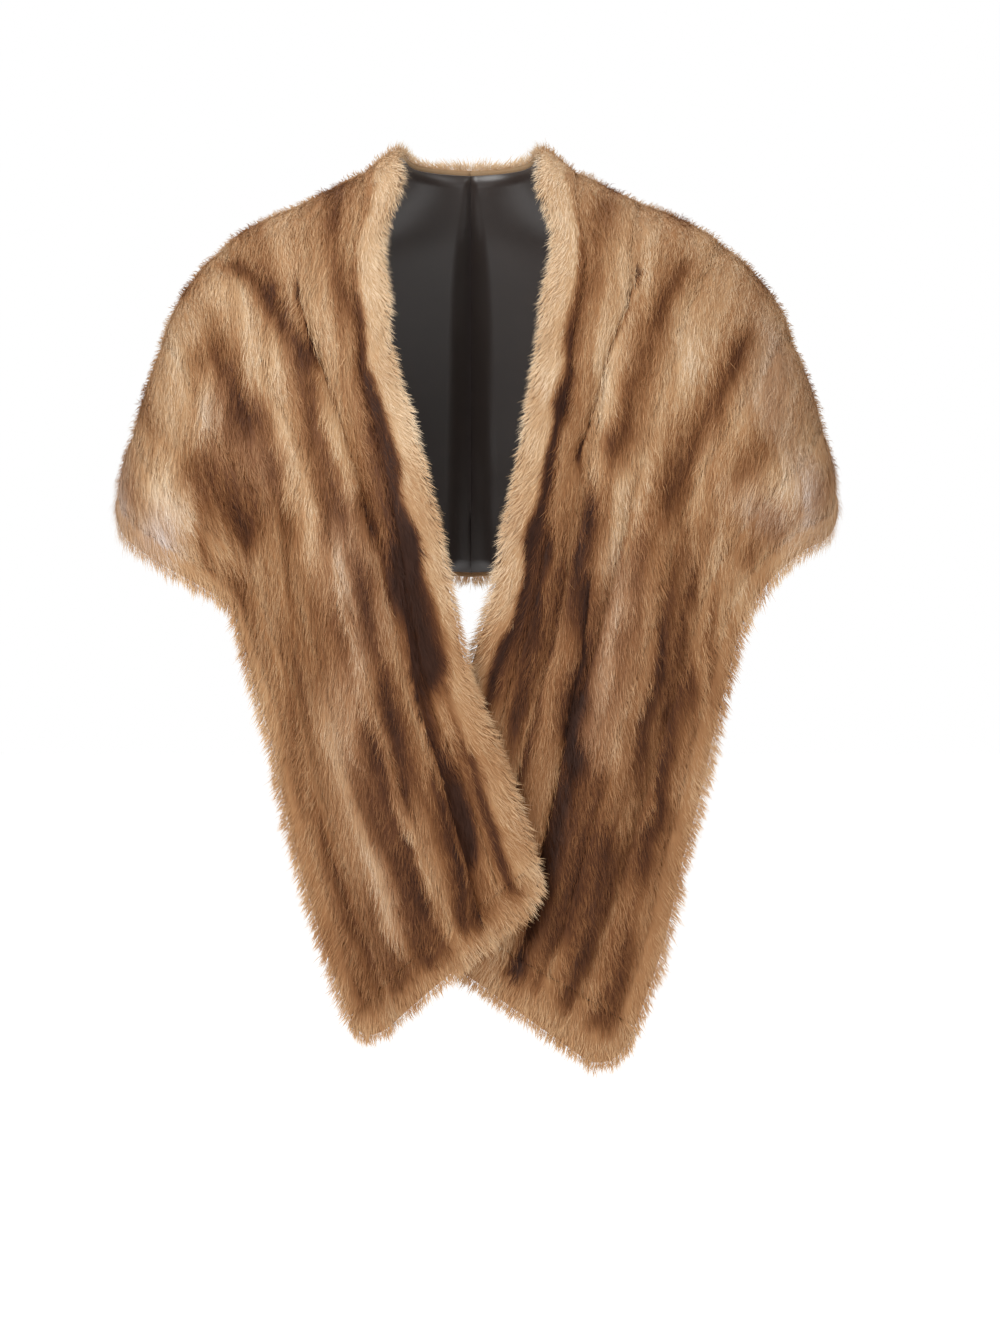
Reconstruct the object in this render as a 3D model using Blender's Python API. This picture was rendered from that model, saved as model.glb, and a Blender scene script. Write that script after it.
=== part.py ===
"""Evening stole: let-out fur strips on a satin lining, worn round the shoulders.

The stole keeps the hollow form it has on a wearer: round the neck, over the shoulders and
upper arms, and down to two slanted front ends that cross, the right one on top.  The front
faces -Y, +X is the wearer's left, and the origin is between the two shoulder tops, where the
wearer holds it.  "Turn" is the angle round the figure, from 0 at the centre back through 90 at
the side to 180 at the centre front; "up" is the height above the origin.  Lengths are metres.
"""

import bmesh
import bpy
from math import cos, exp, radians, sin
from mathutils import Vector

# Fur and lining, as wall thicknesses and gaps
PILE_CROWN = 0.0115        # leather to hair tips along the middle of a strip
PILE_SEAM = 0.0090         # the same beside a seam
PILE_EDGE = 0.0055         # the same at a rolled free edge
LINING_WALL = 0.0012
LINING_GAP = 0.0005
SEAM_GAP = 0.0003
SEAM_LEAN = 0.0018         # the pile's top stands this far back from a seam's middle

# The cut of one side
NECK_BORDER = 0.036
HEM_BORDER = 0.020
SHOULDER_SHARES = (0.17, 0.21, 0.25, 0.23, 0.14)    # of the five skins, back and shoulder
END_SHARES = (0.12, 0.21, 0.24, 0.23, 0.20)         # and at a front end
LINING_INSET = 0.004
CORNER_RADIUS = 0.030      # of the rounded corners of a front end
OVERLAP_LIFT = 0.0215      # the right front lies this far outside the left one

# The hollow form inside the leather, section by section down the figure:
# up, half_width, front (depth), back (depth), squareness (2 is an ellipse)
FORM = (
    (0.062, 0.054, 0.050, 0.064, 2.00),
    (0.036, 0.080, 0.056, 0.075, 2.00),
    (0.012, 0.122, 0.063, 0.089, 2.00),
    (-0.010, 0.170, 0.070, 0.101, 2.00),
    (-0.032, 0.208, 0.079, 0.109, 2.05),
    (-0.075, 0.244, 0.096, 0.122, 2.15),
    (-0.125, 0.264, 0.113, 0.131, 2.25),
    (-0.175, 0.281, 0.127, 0.134, 2.35),
    (-0.250, 0.301, 0.143, 0.133, 2.40),
    (-0.320, 0.300, 0.150, 0.130, 2.40),
    (-0.450, 0.285, 0.154, 0.126, 2.40),
    (-0.760, 0.260, 0.160, 0.120, 2.40),
)

# Where the inner (neck) edge and the outer (hem) edge lie, station by station along the length:
# inner_turn, inner_up, outer_turn, outer_up
BACK_STATIONS = (
    (0, 0.048, 0, -0.315),       # centre back
    (45, 0.050, 40, -0.303),     # shoulder blade
    (82, 0.056, 66, -0.282),     # behind the shoulder
    (120, 0.044, 89, -0.262),    # top of the shoulder, to the point at the upper arm
    (150, 0.010, 109, -0.286),   # collar bone
)
RIGHT_FRONT_STATIONS = (
    (162, -0.062, 121, -0.309),
    (165, -0.125, 135, -0.340),
    (170, -0.190, 139, -0.375),
    (174, -0.262, 142, -0.415),
    (177, -0.335, 145, -0.460),
    (180, -0.405, 147, -0.515),
    (185, -0.470, 150, -0.575),
    (189, -0.528, 154, -0.640),
    (191, -0.562, 158, -0.692),
    (193, -0.586, 161, -0.718),
)
LEFT_FRONT_STATIONS = (
    (163, -0.062, 119, -0.298),
    (167, -0.130, 128, -0.330),
    (170, -0.190, 133, -0.365),
    (173, -0.260, 135, -0.410),
    (176, -0.335, 137, -0.455),
    (180, -0.405, 139, -0.505),
    (183, -0.475, 142, -0.560),
    (187, -0.540, 145, -0.630),
    (189, -0.592, 150, -0.700),
    (191, -0.620, 154, -0.742),
)

# Soft folds that run along the length.  Positive heights are ridges, negative ones troughs:
# start, stop, fade (stations), share_start, share_stop (across the width), width, height
RIGHT_FOLDS = (
    (4.0, 14.0, 3.0, 1.00, 1.00, 0.150, -0.040),    # the front turns back round the figure
    (5.0, 14.0, 1.2, 0.24, 0.30, 0.022, -0.0045),
    (6.0, 14.0, 1.2, 0.50, 0.58, 0.040, 0.0070),
    (7.5, 14.0, 1.2, 0.78, 0.82, 0.026, -0.0050),
    (3.2, 6.5, 1.2, 0.56, 0.42, 0.040, -0.0050),
    (3.0, 5.5, 1.2, 0.80, 0.70, 0.030, -0.0060),
    (1.0, 3.0, 1.0, 0.55, 0.66, 0.060, 0.0050),
    (0.3, 2.6, 1.0, 0.84, 0.80, 0.045, -0.0055),
)
LEFT_FOLDS = (
    (0.6, 6.2, 1.8, 0.68, 0.94, 0.300, 0.0150),     # stands further off the upper arm
    (4.5, 12.5, 1.2, 0.24, 0.28, 0.022, -0.0045),
    (6.0, 14.0, 1.2, 0.46, 0.42, 0.026, -0.0055),
    (6.5, 13.0, 1.2, 0.60, 0.62, 0.040, 0.0060),
    (7.0, 14.0, 1.2, 0.82, 0.72, 0.026, -0.0045),
    (3.4, 6.8, 1.2, 0.50, 0.60, 0.040, -0.0045),
    (2.8, 5.0, 1.2, 0.84, 0.74, 0.032, -0.0060),
    (1.2, 3.1, 1.0, 0.50, 0.62, 0.060, 0.0045),
    (0.4, 2.4, 1.0, 0.80, 0.85, 0.045, -0.0050),
)
LIFT_START, LIFT_STOP = 6.0, 8.8

# How finely the sheets are divided
BACK_STEPS = 15            # from the centre back to the collar bone
FRONT_STEPS = 13           # from there to the end border
END_STEPS = 2
COLLAR_STATION, END_SEAM, END = 5, 13, 14
ACROSS_SAMPLES = 40
NUDGE = 0.02               # step for slopes, in stations and in shares of the width

FUR_BROWN = (0.235, 0.120, 0.062)
FUR_PALE = (0.430, 0.260, 0.150)
SATIN_DARK = (0.030, 0.020, 0.016)


def smooth_value(rows, column, at):
    """The value of a table's column at a place between its rows, on a smooth curve.

    Column 0 is the place itself and rises or falls steadily down the table.
    """
    places = [row[0] for row in rows]
    if places[0] > places[-1]:
        places, rows = places[::-1], rows[::-1]
    values = [row[column] for row in rows]
    at = min(max(at, places[0]), places[-1])
    last = len(places) - 2
    i = min(sum(at > place for place in places[1:]), last)

    def slope(k):
        low, high = max(k - 1, 0), min(k + 1, len(places) - 1)
        return (values[high] - values[low]) / (places[high] - places[low])

    span = places[i + 1] - places[i]
    t = (at - places[i]) / span
    return (
        values[i] * (1 + 2 * t) * (1 - t) ** 2
        + values[i + 1] * t * t * (3 - 2 * t)
        + slope(i) * span * t * (1 - t) ** 2
        - slope(i + 1) * span * t * t * (1 - t)
    )


def ease(x):
    """0 to 1 with a soft start and stop."""
    x = min(max(x, 0.0), 1.0)
    return x * x * (3 - 2 * x)


def form_point(turn, up):
    """A point of the hollow form at an angle round the figure and a height."""
    half, front, back, square = (smooth_value(FORM, k, up) for k in (1, 2, 3, 4))
    across, along = sin(radians(turn)), cos(radians(turn))
    reach = (abs(across) ** square + abs(along) ** square) ** (1 / square)
    depth = back if along > 0 else front
    return Vector((half * across / reach, depth * along / reach, up))


class Side:
    """One half of the stole: sign is -1 for the wearer's right and 1 for the left."""

    def __init__(self, name, sign, front_stations, folds, lift):
        self.name = name
        self.sign = sign
        stations = BACK_STATIONS + front_stations
        self.stations = tuple((k,) + row for k, row in enumerate(stations))
        self.folds = folds
        self.lift = lift
        self.sections = {}

    def section(self, station):
        """Points of the bare form from the inner to the outer edge, and how far along each is."""
        key = round(station, 6)
        if key not in self.sections:
            at = abs(station)
            turn_in, up_in, turn_out, up_out = (
                smooth_value(self.stations, k, at) for k in (1, 2, 3, 4)
            )
            points, reach = [], [0.0]
            for step in range(ACROSS_SAMPLES + 1):
                t = step / ACROSS_SAMPLES
                point = form_point(turn_in + (turn_out - turn_in) * t, up_in + (up_out - up_in) * t)
                point.x *= self.sign if station >= 0 else -self.sign
                points.append(point)
                if step:
                    reach.append(reach[-1] + (point - points[-2]).length)
            self.sections[key] = points, reach
        return self.sections[key]

    def width(self, station):
        return self.section(station)[1][-1]

    def bare_point(self, station, share):
        """The form's point at a share of the real width from the inner edge."""
        points, reach = self.section(station)
        target = share * reach[-1]
        i = min(max(sum(target > r for r in reach) - 1, 0), ACROSS_SAMPLES - 1)
        t = (target - reach[i]) / (reach[i + 1] - reach[i])
        return points[i].lerp(points[i + 1], t)

    def outward(self, place, station, share):
        """The unit normal, away from the figure, of a surface given by place(station, share)."""
        ahead = min(station + NUDGE, END)
        along = place(ahead, share) - place(ahead - 2 * NUDGE, share)
        low, high = max(share - NUDGE, 0.0), min(share + NUDGE, 1.0)
        across = place(station, high) - place(station, low)
        return (along.cross(across) * self.sign).normalized()

    def stand_off(self, station, share):
        """How far folds and the overlap move the leather out from the form."""
        off = self.lift * ease((station - LIFT_START) / (LIFT_STOP - LIFT_START))
        across = share * self.width(station)
        for start, stop, fade, share_start, share_stop, width, height in self.folds:
            t = (station - start) / (stop - start)
            middle = (share_start + (share_stop - share_start) * t) * self.width(station)
            rise = ease((station - start) / fade)
            fall = 1.0 if stop >= END else ease((stop - station) / fade)
            off += height * rise * fall * exp(-(((across - middle) / (width / 2)) ** 2))
        return off

    def leather_point(self, station, share):
        """A point of the leather, the inner face of the fur."""
        normal = self.outward(self.bare_point, station, share)
        return self.bare_point(station, share) + normal * self.stand_off(abs(station), share)

    def shares(self, station):
        """Shares of the width at the seams and half way between them, from inner to outer edge."""
        width = self.width(station)
        seams = [0.0, NECK_BORDER]
        toward_end = ease((station - COLLAR_STATION) / (END - COLLAR_STATION))
        for shoulder, end in zip(SHOULDER_SHARES, END_SHARES):
            share = shoulder + (end - shoulder) * toward_end
            seams.append(seams[-1] + share * (width - NECK_BORDER - HEM_BORDER))
        seams.append(width)
        halves = [(a + b) / 2 for a, b in zip(seams, seams[1:])]
        return [place / width for place in sorted(seams + halves)]


def row_stations():
    """The stations at which the sheets have a row of points."""
    rows = [COLLAR_STATION * k / BACK_STEPS for k in range(BACK_STEPS)]
    rows += [COLLAR_STATION + (END_SEAM - COLLAR_STATION) * k / FRONT_STEPS for k in range(FRONT_STEPS)]
    rows += [END_SEAM + (END - END_SEAM) * k / END_STEPS for k in range(END_STEPS + 1)]
    return rows


def end_station(station, side, share):
    """A station of the end border, drawn back near its corners to round them."""
    past = (station - END_SEAM) / (END - END_SEAM)
    corner = CORNER_RADIUS / side.width(END)
    near = max(1 - share / corner, 1 - (1 - share) / corner, 0.0)
    drawn_back = 1 - (1 - near * near) ** 0.5
    return END_SEAM + (END - END_SEAM) * past * (1 - 0.8 * drawn_back)


def side_grid(side):
    """Rows of (point, normal) of the leather, one for each station, with a column at each share."""
    grid = []
    for station in row_stations():
        row = []
        for share in side.shares(station):
            at = end_station(station, side, share) if station > END_SEAM else station
            point = side.leather_point(at, share)
            normal = side.outward(side.leather_point, at, share)
            if station == 0:
                point.x = side.sign * SEAM_GAP / 2
                normal = Vector((0.0, normal.y, normal.z)).normalized()
            row.append((point, normal))
        grid.append(row)
    return grid


def trim_columns(rows, start, stop):
    """Move the first and last columns inward along the sheet, each by a length in metres."""
    trimmed = []
    for row in rows:
        row = list(row)
        for edge, neighbour, length in ((0, 1, start), (-1, -2, stop)):
            (point, normal), (other, other_normal) = row[edge], row[neighbour]
            t = length / (other - point).length
            row[edge] = point.lerp(other, t), normal.lerp(other_normal, t).normalized()
        trimmed.append(row)
    return trimmed


def trim_rows(rows, start, stop):
    """Move the first and last rows inward along the sheet, each by a length in metres."""
    columns = [list(column) for column in zip(*rows)]
    return [list(row) for row in zip(*trim_columns(columns, start, stop))]


def material(name, colour, roughness):
    made = bpy.data.materials.new(name)
    made.use_nodes = True
    shader = made.node_tree.nodes["Principled BSDF"]
    shader.inputs["Base Color"].default_value = (*colour, 1.0)
    shader.inputs["Roughness"].default_value = roughness
    shader.inputs["Metallic"].default_value = 0.0
    return made


def raised(rows, height):
    """The points at a height above rows of (point, normal); height is a function of row, column."""
    return [
        [point + normal * height(i, j) for j, (point, normal) in enumerate(row)]
        for i, row in enumerate(rows)
    ]


def wall(name, inner, outer, colour, roughness):
    """A closed wall between two sheets of points with the same rows and columns."""
    bm = bmesh.new()
    count_down, count_across = len(inner), len(inner[0])
    bmesh.ops.create_grid(bm, x_segments=count_across - 1, y_segments=count_down - 1, size=1.0)
    place = bm.verts.layers.int.new("place")
    bm.verts.ensure_lookup_table()
    for index, vert in enumerate(bm.verts):
        vert[place] = index
    bmesh.ops.triangulate(bm, faces=bm.faces[:], quad_method="FIXED")
    made = bmesh.ops.extrude_face_region(bm, geom=bm.faces[:], use_keep_orig=True)
    raised_verts = {item for item in made["geom"] if isinstance(item, bmesh.types.BMVert)}
    for vert in bm.verts:
        i, j = divmod(vert[place], count_across)
        vert.co = outer[i][j] if vert in raised_verts else inner[i][j]
    bmesh.ops.recalc_face_normals(bm, faces=bm.faces[:])
    mesh = bpy.data.meshes.new(name)
    bm.to_mesh(mesh)
    bm.free()
    mesh.shade_smooth()
    mesh.set_sharp_from_angle(angle=radians(50))
    mesh.materials.append(material(name, colour, roughness))
    bpy.context.collection.objects.link(bpy.data.objects.new(name, mesh))


def fur_strip(side, name, rows, free_start, free_stop, colour):
    """A fur strip of three columns, with a thinner pile at its seams and rolled free edges."""
    heights = (
        PILE_EDGE if free_start else PILE_SEAM,
        PILE_CROWN,
        PILE_EDGE if free_stop else PILE_SEAM,
    )
    half = SEAM_GAP / 2
    base = trim_columns(rows, 0.0 if free_start else half, 0.0 if free_stop else half)
    base = trim_rows(base, 0.0, half)
    top = trim_columns(base, 0.0 if free_start else SEAM_LEAN, 0.0 if free_stop else SEAM_LEAN)
    top = trim_rows(top, 0.0, SEAM_LEAN)
    inner = raised(base, lambda i, j: 0.0)
    wall(f"{side.name}_{name}", inner, raised(top, lambda i, j: heights[j]), colour, 0.75)


def end_border(side, rows):
    """The border across a front end, rolled on its three free edges."""
    last_row, last_column = len(rows) - 1, len(rows[0]) - 1

    def pile(i, j):
        if i == last_row or j in (0, last_column):
            return PILE_EDGE
        return PILE_SEAM if i == 0 else PILE_CROWN

    base = trim_rows(rows, SEAM_GAP / 2, 0.0)
    inner = raised(base, lambda i, j: 0.0)
    outer = raised(trim_rows(base, SEAM_LEAN, 0.0), pile)
    wall(f"{side.name}_end_border", inner, outer, FUR_PALE, 0.75)


def lining(side, rows):
    """The satin lining, just inside the leather and a little short of its free edges."""
    rows = trim_rows(trim_columns(rows, LINING_INSET, LINING_INSET), 0.0, LINING_INSET)
    outer = raised(rows, lambda i, j: -LINING_GAP)
    inner = raised(rows, lambda i, j: -LINING_GAP - LINING_WALL)
    wall(f"{side.name}_lining", inner, outer, SATIN_DARK, 0.35)


def build_side(side):
    grid = side_grid(side)
    seam_row = len(grid) - 1 - END_STEPS
    body = grid[: seam_row + 1]
    fur_strip(side, "neck_border", [row[0:3] for row in body], True, False, FUR_PALE)
    for number in range(len(END_SHARES)):
        first = 2 + 2 * number
        columns = [row[first:first + 3] for row in body]
        fur_strip(side, f"skin_{number + 1}", columns, False, False, FUR_BROWN)
    fur_strip(side, "hem_border", [row[-3:] for row in body], False, True, FUR_PALE)
    end_border(side, grid[seam_row:])
    lining(side, grid)


def main():
    for obj in list(bpy.data.objects):
        bpy.data.objects.remove(obj)
    build_side(Side("right", -1, RIGHT_FRONT_STATIONS, RIGHT_FOLDS, OVERLAP_LIFT))
    build_side(Side("left", 1, LEFT_FRONT_STATIONS, LEFT_FOLDS, 0.0))


main()
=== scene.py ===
"""Evening stole: the looks of its let-out fur skins, rolled fur borders and satin lining.

"Station" counts along the length of one half, from 0 at the centre back to 14 at the front end,
and "share" goes across it, from 0 at the neck edge to 1 at the hem edge.  Lengths are metres.
"""

import logging
from dataclasses import dataclass, field
from enum import Enum
from math import atan, radians
from typing import NamedTuple

import bmesh
import bpy
import numpy as np
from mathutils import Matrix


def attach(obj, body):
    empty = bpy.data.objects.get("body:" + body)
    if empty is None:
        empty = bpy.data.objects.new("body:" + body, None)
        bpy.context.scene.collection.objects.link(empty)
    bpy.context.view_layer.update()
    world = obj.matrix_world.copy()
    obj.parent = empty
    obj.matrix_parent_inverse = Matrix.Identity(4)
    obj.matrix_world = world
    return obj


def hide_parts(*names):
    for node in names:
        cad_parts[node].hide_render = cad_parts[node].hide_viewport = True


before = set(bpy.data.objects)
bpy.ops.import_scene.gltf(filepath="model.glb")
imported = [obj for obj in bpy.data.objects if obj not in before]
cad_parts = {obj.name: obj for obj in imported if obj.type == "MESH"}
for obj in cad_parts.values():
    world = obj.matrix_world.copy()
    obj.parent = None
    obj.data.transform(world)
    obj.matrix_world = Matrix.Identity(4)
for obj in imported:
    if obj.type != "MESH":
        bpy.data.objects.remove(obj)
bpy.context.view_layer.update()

LOG = logging.getLogger("stole")
BODY = "root"
COLLAR_STATION, END_SEAM, END = 5.0, 13.0, 14.0


class Slot(Enum):
    """The record's material slots."""

    SKINS = "fur_skins"
    BORDER = "fur_border"
    LINING = "lining_satin"


class Fold(NamedTuple):
    """A soft ridge (positive height) or trough along the length."""

    start: float
    stop: float
    fade: float
    share_start: float
    share_stop: float
    width: float
    height: float


class Mark(NamedTuple):
    """A soft streak in the coat: tone below 0 is darker, above 0 is paler."""

    start: float
    stop: float
    share_start: float
    share_stop: float
    width: float
    tone: float


class Parting(NamedTuple):
    """A stretch of seam where the hair falls away to both sides."""

    start: float
    stop: float
    share_start: float
    share_stop: float

    def trough(self) -> Fold:
        """The narrow trough that the parting lies in."""
        return Fold(self.start, self.stop, 0.5, self.share_start, self.share_stop,
                    width=0.011, height=-0.0028)


def ease(x: np.ndarray) -> np.ndarray:
    """0 to 1 with a soft start and stop."""
    x = np.clip(x, 0.0, 1.0)
    return x * x * (3 - 2 * x)


def unit(vectors: np.ndarray) -> np.ndarray:
    """The vectors at length 1."""
    return vectors / np.maximum(np.linalg.norm(vectors, axis=-1, keepdims=True), 1e-9)


def read_table(table: tuple, at: np.ndarray) -> np.ndarray:
    """The values of a table of places and values, with straight lines between its rows."""
    places, values = zip(*table)
    return np.interp(at, places, values)


def cut_size(sheet: np.ndarray) -> tuple:
    """What a sheet was cut to before it was hung.

    Args:
        sheet: rows (along the length) and columns of its points.

    Returns:
        Its width and length, and its area, which is never over their product.
    """
    lengths = np.linalg.norm(np.diff(sheet, axis=0), axis=-1).sum(axis=0)
    widths = np.linalg.norm(np.diff(sheet, axis=1), axis=-1).sum(axis=1)
    down, over = np.diff(sheet, axis=0)[:, :-1], np.diff(sheet, axis=1)[:-1]
    flat = (float(widths.max()), float(lengths.max()))
    area = float(np.linalg.norm(np.cross(down, over), axis=-1).sum())
    return flat, min(area, flat[0] * flat[1])


def smooth_column(rows: np.ndarray, column: int, at: np.ndarray) -> np.ndarray:
    """A table's column read on a smooth curve.

    Args:
        rows: the table, whose column 0 is the place.
        column: the column to read.
        at: the places.

    Returns:
        The values at those places.
    """
    rows = rows[np.argsort(rows[:, 0])]
    places, values = rows[:, 0], rows[:, column]
    slopes = np.empty_like(values)
    slopes[1:-1] = (values[2:] - values[:-2]) / (places[2:] - places[:-2])
    slopes[0] = (values[1] - values[0]) / (places[1] - places[0])
    slopes[-1] = (values[-1] - values[-2]) / (places[-1] - places[-2])
    at = np.clip(at, places[0], places[-1])
    i = np.clip(np.searchsorted(places, at, side="left") - 1, 0, len(places) - 2)
    span = places[i + 1] - places[i]
    t = (at - places[i]) / span
    return (
        values[i] * (1 + 2 * t) * (1 - t) ** 2
        + values[i + 1] * t * t * (3 - 2 * t)
        + slopes[i] * span * t * (1 - t) ** 2
        - slopes[i + 1] * span * t * t * (1 - t)
    )


@dataclass(frozen=True)
class Figure:
    """The hollow general figure inside the leather, section by section down its height."""

    # up, half_width, front, back, squareness
    sections: tuple = (
        (0.062, 0.054, 0.050, 0.064, 2.00),
        (0.036, 0.080, 0.056, 0.075, 2.00),
        (0.012, 0.122, 0.063, 0.089, 2.00),
        (-0.010, 0.170, 0.070, 0.101, 2.00),
        (-0.032, 0.208, 0.079, 0.109, 2.05),
        (-0.075, 0.244, 0.096, 0.122, 2.15),
        (-0.125, 0.264, 0.113, 0.131, 2.25),
        (-0.175, 0.281, 0.127, 0.134, 2.35),
        (-0.250, 0.301, 0.143, 0.133, 2.40),
        (-0.320, 0.300, 0.150, 0.130, 2.40),
        (-0.450, 0.285, 0.154, 0.126, 2.40),
        (-0.760, 0.260, 0.160, 0.120, 2.40),
    )

    def point(self, turn: np.ndarray, up: np.ndarray) -> np.ndarray:
        """Points of the form.

        Args:
            turn: angles round the figure from the centre back, in degrees.
            up: heights.

        Returns:
            The points on the left half.
        """
        rows = np.array(self.sections)
        half, front, back, square = (smooth_column(rows, k, up) for k in (1, 2, 3, 4))
        across, along = np.sin(np.radians(turn)), np.cos(np.radians(turn))
        reach = (np.abs(across) ** square + np.abs(along) ** square) ** (1 / square)
        depth = np.where(along > 0, back, front)
        return np.stack([half * across / reach, depth * along / reach, up], axis=-1)


class Place(NamedTuple):
    """Points of the leather with their unit directions."""

    point: np.ndarray
    normal: np.ndarray
    along: np.ndarray
    across: np.ndarray
    width: np.ndarray


@dataclass
class Half:
    """One half of the stole; sign is -1 for the wearer's right and 1 for the left."""

    name: str
    sign: int
    front_stations: tuple
    folds: tuple
    marks: tuple
    # streaks of painted silvery sheen, laid on the coat as a greyish cast
    sheen_greys: tuple
    partings: tuple
    lift: float
    seed: int
    figure: Figure = field(default_factory=Figure)
    back_stations: tuple = (
        (0, 0.048, 0, -0.315),
        (45, 0.050, 40, -0.303),
        (82, 0.056, 66, -0.282),
        (120, 0.044, 89, -0.262),
        (150, 0.010, 109, -0.286),
    )
    neck_border: float = 0.036
    hem_border: float = 0.020
    shoulder_shares: tuple = (0.17, 0.21, 0.25, 0.23, 0.14)
    end_shares: tuple = (0.12, 0.21, 0.24, 0.23, 0.20)
    corner_radius: float = 0.030
    seam_gap: float = 0.0003
    back_cross: float = 0.0015
    parting_fade: float = 0.3
    mark_fade: float = 0.6
    mark_core: float = 0.58
    mark_power: float = 1.5
    end_narrowing: float = 0.8
    lift_start: float = 6.0
    lift_stop: float = 8.8
    rows: int = 421
    columns: int = 161
    samples: int = 41

    def __post_init__(self) -> None:
        """Works out the fine grid of the leather that every piece is read from."""
        self.stations = np.linspace(0.0, END, self.rows)
        self.shares = np.linspace(0.0, 1.0, self.columns)
        table = np.array([(k, *row) for k, row in enumerate(self.back_stations + self.front_stations)])
        turn_in, up_in, turn_out, up_out = (smooth_column(table, k, self.stations) for k in (1, 2, 3, 4))
        t = np.linspace(0.0, 1.0, self.samples)
        turn = turn_in[:, None] + (turn_out - turn_in)[:, None] * t
        up = up_in[:, None] + (up_out - up_in)[:, None] * t
        line = self.figure.point(turn, up) * np.array([self.sign, 1, 1])
        steps = np.linalg.norm(np.diff(line, axis=1), axis=-1)
        reach = np.concatenate([np.zeros((self.rows, 1)), np.cumsum(steps, axis=1)], axis=1)
        self.widths = reach[:, -1]
        bare = np.empty((self.rows, self.columns, 3))
        for i in range(self.rows):
            for k in range(3):
                bare[i, :, k] = np.interp(self.shares * reach[i, -1], reach[i], line[i, :, k])
        normal = self.frames(bare)[0]
        self.points = bare + normal * self.stand_off()[..., None]
        self.normals, self.alongs, self.acrosses = self.frames(self.points)
        self.steps = np.linalg.norm(np.gradient(self.points, axis=0), axis=-1)

    def frames(self, points: np.ndarray) -> tuple:
        """The directions of a sheet.

        Args:
            points: rows and columns of the sheet's points.

        Returns:
            Unit vectors outward, along the length and across toward the hem edge.
        """
        along = unit(np.gradient(points, axis=0))
        across = unit(np.gradient(points, axis=1))
        normal = unit(np.cross(along, across) * self.sign)
        return normal, along, unit(np.cross(normal, along) * self.sign)

    def stand_off(self) -> np.ndarray:
        """How far folds and the overlap move the leather out from the form.

        Returns:
            Metres for each place of the fine grid.
        """
        station, share = self.stations[:, None], self.shares[None, :]
        width = self.widths[:, None]
        off = self.lift * ease((station - self.lift_start) / (self.lift_stop - self.lift_start))
        off = off + np.zeros((self.rows, self.columns))
        for fold in self.folds + tuple(part.trough() for part in self.partings):
            t = (station - fold.start) / (fold.stop - fold.start)
            middle = (fold.share_start + (fold.share_stop - fold.share_start) * t) * width
            rise = ease((station - fold.start) / fold.fade)
            fall = 1.0 if fold.stop >= END else ease((fold.stop - station) / fold.fade)
            off += fold.height * rise * fall * np.exp(-(((share * width - middle) / (fold.width / 2)) ** 2))
        return off

    def look_up(self, grid: np.ndarray, station: np.ndarray, share: np.ndarray) -> np.ndarray:
        """Values of a grid between its rows and columns.

        Args:
            grid: a number or a vector for each place of the fine grid.
            station: the stations to read.
            share: the shares to read.

        Returns:
            The values there.
        """
        row = np.clip(station / END * (self.rows - 1), 0, self.rows - 1.001)
        column = np.clip(share * (self.columns - 1), 0, self.columns - 1.001)
        i, j = row.astype(int), column.astype(int)
        a, b = row - i, column - j
        if grid.ndim == 3:
            a, b = a[..., None], b[..., None]
        low = grid[i, j] * (1 - b) + grid[i, j + 1] * b
        high = grid[i + 1, j] * (1 - b) + grid[i + 1, j + 1] * b
        return low * (1 - a) + high * a

    def place(self, station: np.ndarray, share: np.ndarray) -> Place:
        """The leather at some places.

        Args:
            station: the places' stations.
            share: their shares.

        Returns:
            The points and their directions.
        """
        point = self.look_up(self.points, station, share)
        normal = unit(self.look_up(self.normals, station, share))
        along = unit(self.look_up(self.alongs, station, share))
        across = unit(self.look_up(self.acrosses, station, share))
        return Place(point, normal, along, across, np.interp(station, self.stations, self.widths))

    def seams(self, station: np.ndarray) -> np.ndarray:
        """Where the seams and edges lie.

        Args:
            station: the stations to read.

        Returns:
            The shares of the eight seams and edges, in a last axis.
        """
        width = np.interp(station, self.stations, self.widths)
        toward_end = ease((station - COLLAR_STATION) / (END - COLLAR_STATION))
        places = [np.zeros_like(width), np.full_like(width, self.neck_border)]
        for shoulder, end in zip(self.shoulder_shares, self.end_shares):
            part = shoulder + (end - shoulder) * toward_end
            places.append(places[-1] + part * (width - self.neck_border - self.hem_border))
        places.append(width)
        return np.stack(places, axis=-1) / width[..., None]

    def drawn_back(self, station: np.ndarray, share: np.ndarray) -> np.ndarray:
        """Rounds the front end's corners.

        Args:
            station: the places' stations.
            share: their shares.

        Returns:
            The stations, those past the end seam drawn back near the corners.
        """
        past = np.clip((station - END_SEAM) / (END - END_SEAM), 0, 1)
        corner = self.corner_radius / self.widths[-1]
        near = np.clip(np.maximum(1 - share / corner, 1 - (1 - share) / corner), 0, 1)
        short = 1 - np.sqrt(1 - near * near)
        drawn = END_SEAM + (END - END_SEAM) * past * (1 - self.end_narrowing * short)
        return np.where(station > END_SEAM, drawn, station)

    def beside(self, part: Parting, station: np.ndarray, share: np.ndarray) -> tuple:
        """How places lie to a parting of the hair.

        Args:
            part: the parting.
            station: the places' stations.
            share: their shares.

        Returns:
            Metres off its line, and a strength of 1 along it that falls to 0 at its ends.
        """
        width = np.interp(station, self.stations, self.widths)
        t = np.clip((station - part.start) / (part.stop - part.start), 0, 1)
        line = part.share_start + (part.share_stop - part.share_start) * t
        fade = self.parting_fade
        inside = ease((station - part.start) / fade) * ease((part.stop - station) / fade)
        return (share - line) * width, inside

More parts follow.
